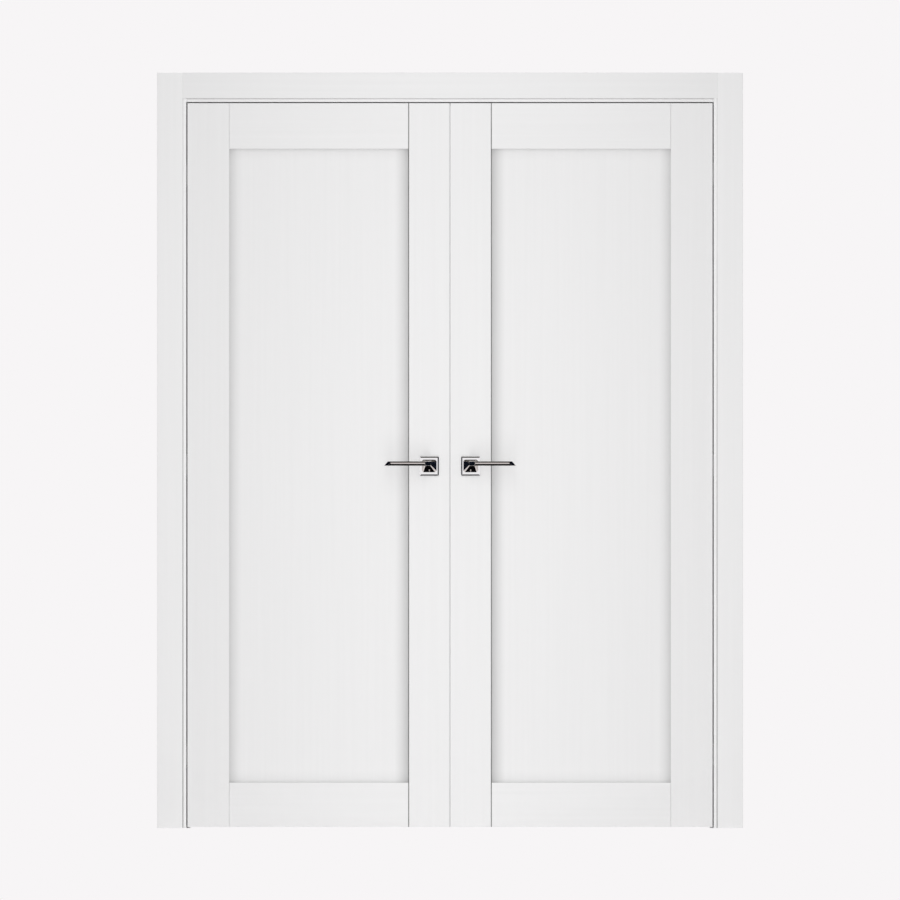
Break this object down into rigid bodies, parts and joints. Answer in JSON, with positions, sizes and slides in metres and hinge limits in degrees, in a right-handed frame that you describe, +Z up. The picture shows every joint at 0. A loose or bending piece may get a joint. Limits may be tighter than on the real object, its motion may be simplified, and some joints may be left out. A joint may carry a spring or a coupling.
{
  "type": "pair of framed interior doors",
  "caption": "White flat-panel double doors in a cased frame, with concealed hinges, lever handles on square roses, a magnetic latch and flush bolts; both leaves swing open.",
  "frame": {"origin": "on the floor, in the middle of the width and of the depth over handles and casings", "axes": "+X to the right seen from the side the leaves open to, +Y to the rear, +Z up"},
  "size_m": [1.6434, 0.1774, 2.1182],
  "materials": {
    "white_foil": "satin white foil on timber, with a faint upright grain pressed into it",
    "handle_chrome": "polished chrome plate",
    "seal_rubber": "pale matt seal rubber",
    "hinge_nickel": "satin nickel plate on a zinc casting",
    "lock_steel": "brushed stainless steel",
    "plated_steel": "bright zinc plated steel",
    "screw_steel": "nickel plated steel screws"
  },
  "bodies": {
    "frame": {"head_jamb": "white_foil", "head_seal": "seal_rubber", "head_casing": "white_foil", "rear_head_casing": "white_foil", "bolt_keeper_plate": "lock_steel", "frame_screws": "screw_steel", "frame_corner_screws": "screw_steel", "left_jamb": "white_foil", "left_seal": "seal_rubber", "left_casing": "white_foil", "rear_left_casing": "white_foil", "left_jamb_bottom_hinge_housing": "hinge_nickel", "left_jamb_middle_hinge_housing": "hinge_nickel", "left_jamb_top_hinge_housing": "hinge_nickel", "right_jamb": "white_foil", "right_seal": "seal_rubber", "right_casing": "white_foil", "rear_right_casing": "white_foil", "right_jamb_bottom_hinge_housing": "hinge_nickel", "right_jamb_middle_hinge_housing": "hinge_nickel", "right_jamb_top_hinge_housing": "hinge_nickel"},
    "left_leaf": {"left_hinge_stile": "white_foil", "left_lock_stile": "white_foil", "left_top_rail": "white_foil", "left_bottom_rail": "white_foil", "left_panel": "white_foil", "left_leaf_bottom_hinge_housing": "hinge_nickel", "left_leaf_middle_hinge_housing": "hinge_nickel", "left_leaf_top_hinge_housing": "hinge_nickel", "left_leaf_screws": "screw_steel", "left_front_rose": "handle_chrome", "left_rear_rose": "handle_chrome", "strike_plate": "lock_steel", "top_flush_bolt_plate": "lock_steel", "bottom_flush_bolt_plate": "lock_steel"},
    "right_leaf": {"right_hinge_stile": "white_foil", "right_lock_stile": "white_foil", "right_top_rail": "white_foil", "right_bottom_rail": "white_foil", "right_panel": "white_foil", "right_leaf_bottom_hinge_housing": "hinge_nickel", "right_leaf_middle_hinge_housing": "hinge_nickel", "right_leaf_top_hinge_housing": "hinge_nickel", "right_leaf_screws": "screw_steel", "right_front_rose": "handle_chrome", "right_rear_rose": "handle_chrome", "lock_case": "plated_steel", "lock_faceplate": "lock_steel"},
    "left_hinge_arms": {"left_hinge_arms": "hinge_nickel"},
    "right_hinge_arms": {"right_hinge_arms": "hinge_nickel"},
    "left_handle": {"left_front_lever": "handle_chrome", "left_rear_lever": "handle_chrome", "left_spindle": "plated_steel"},
    "right_handle": {"right_front_lever": "handle_chrome", "right_rear_lever": "handle_chrome", "right_spindle": "plated_steel", "lock_follower": "plated_steel"},
    "latch": {"latch_bolt": "lock_steel"},
    "top_bolt": {"top_flush_bolt_rod": "lock_steel"},
    "bottom_bolt": {"bottom_flush_bolt_rod": "lock_steel"}
  },
  "joints": [
    {"name": "left_leaf_swing", "type": "hinge", "parent": "frame", "child": "left_leaf", "pos_m": [-0.738, -0.03435, 0], "axis": [0, 0, -1], "range_deg": [0, 100]},
    {"name": "left_hinge_arms_turn", "type": "hinge", "parent": "frame", "child": "left_hinge_arms", "pos_m": [-0.738, -0.03435, 0], "axis": [0, 0, -1], "range_deg": [0, 50]},
    {"name": "left_handle_turn", "type": "hinge", "parent": "left_leaf", "child": "left_handle", "pos_m": [-0.058, -0.01135, 1.015], "axis": [0, -1, 0], "range_deg": [0, 40], "stiffness_Nm_per_rad": 1, "springref_deg": -34.38},
    {"name": "right_leaf_swing", "type": "hinge", "parent": "frame", "child": "right_leaf", "pos_m": [0.738, -0.03435, 0], "axis": [0, 0, 1], "range_deg": [0, 100]},
    {"name": "right_hinge_arms_turn", "type": "hinge", "parent": "frame", "child": "right_hinge_arms", "pos_m": [0.738, -0.03435, 0], "axis": [0, 0, 1], "range_deg": [0, 50]},
    {"name": "right_handle_turn", "type": "hinge", "parent": "right_leaf", "child": "right_handle", "pos_m": [0.058, -0.01135, 1.015], "axis": [0, 1, 0], "range_deg": [0, 40], "stiffness_Nm_per_rad": 1, "springref_deg": -34.38},
    {"name": "latch_slide", "type": "slide", "parent": "right_leaf", "child": "latch", "axis": [-1, 0, 0], "range_m": [0, 0.012], "stiffness_N_per_m": 40, "springref_m": -0.01},
    {"name": "top_bolt_slide", "type": "slide", "parent": "left_leaf", "child": "top_bolt", "axis": [0, 0, 1], "range_m": [0, 0.015]},
    {"name": "bottom_bolt_slide", "type": "slide", "parent": "left_leaf", "child": "bottom_bolt", "axis": [0, 0, -1], "range_m": [0, 0.015]}
  ],
  "couplings": [
    {"joint": "left_hinge_arms_turn", "follows": "left_leaf_swing", "ratio": 0.5},
    {"joint": "right_hinge_arms_turn", "follows": "right_leaf_swing", "ratio": 0.5}
  ]
}
